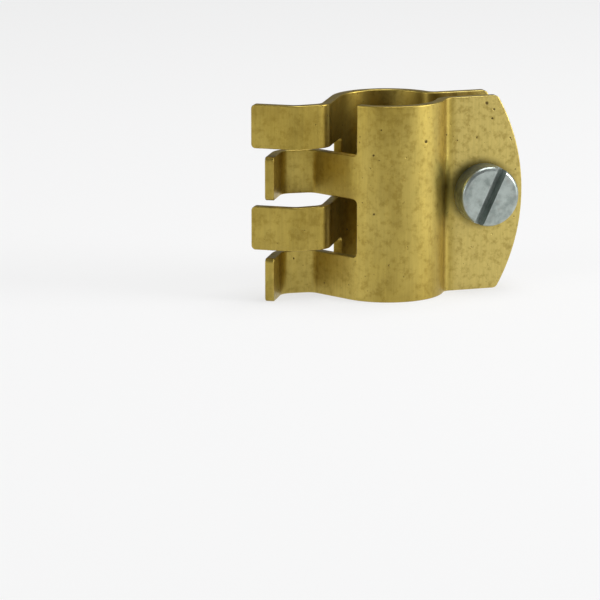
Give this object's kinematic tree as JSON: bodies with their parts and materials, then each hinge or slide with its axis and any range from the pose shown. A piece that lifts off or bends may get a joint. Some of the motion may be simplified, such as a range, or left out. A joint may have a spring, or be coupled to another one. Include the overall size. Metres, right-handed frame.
{
  "type": "earth rod clamp",
  "caption": "Brass clamp of hooked sheet jaws on a round earth rod, gripping a bare conductor between its fingers and closed by a slotted screw and nut.",
  "frame": {"origin": "on the axis of the rod seat, at half the clamp's height", "axes": "+Z along the rod seat, +X towards the flanges and the screw, -Y towards the screw's head"},
  "size_m": [0.0458, 0.022, 0.0324],
  "materials": {
    "jaw_brass": "aged stamped brass sheet, dull gold with light tarnish",
    "plated_steel": "zinc-plated steel, pale blue-grey"
  },
  "bodies": {
    "front": {"front_jaw": "jaw_brass"},
    "rear": {"rear_jaw": "jaw_brass"},
    "screw": {"clamp_screw": "plated_steel"},
    "nut": {"clamp_nut": "plated_steel"}
  },
  "joints": [
    {"name": "screw_turn", "type": "hinge", "parent": "front", "child": "screw", "pos_m": [0.0155, 0, 0], "axis": [0, -1, 0], "range_deg": [0, 1080]},
    {"name": "nut_travel", "type": "slide", "parent": "front", "child": "nut", "axis": [0, 1, 0], "range_m": [0, 0.003]},
    {"name": "jaw_open", "type": "hinge", "parent": "front", "child": "rear", "pos_m": [0, 0, 0], "axis": [0, 0, 1], "range_deg": [0, 8]}
  ],
  "couplings": [
    {"joint": "screw_turn", "follows": "nut_travel", "rad_per_m": 6283.2},
    {"joint": "jaw_open", "follows": "nut_travel", "rad_per_m": 46.542}
  ]
}
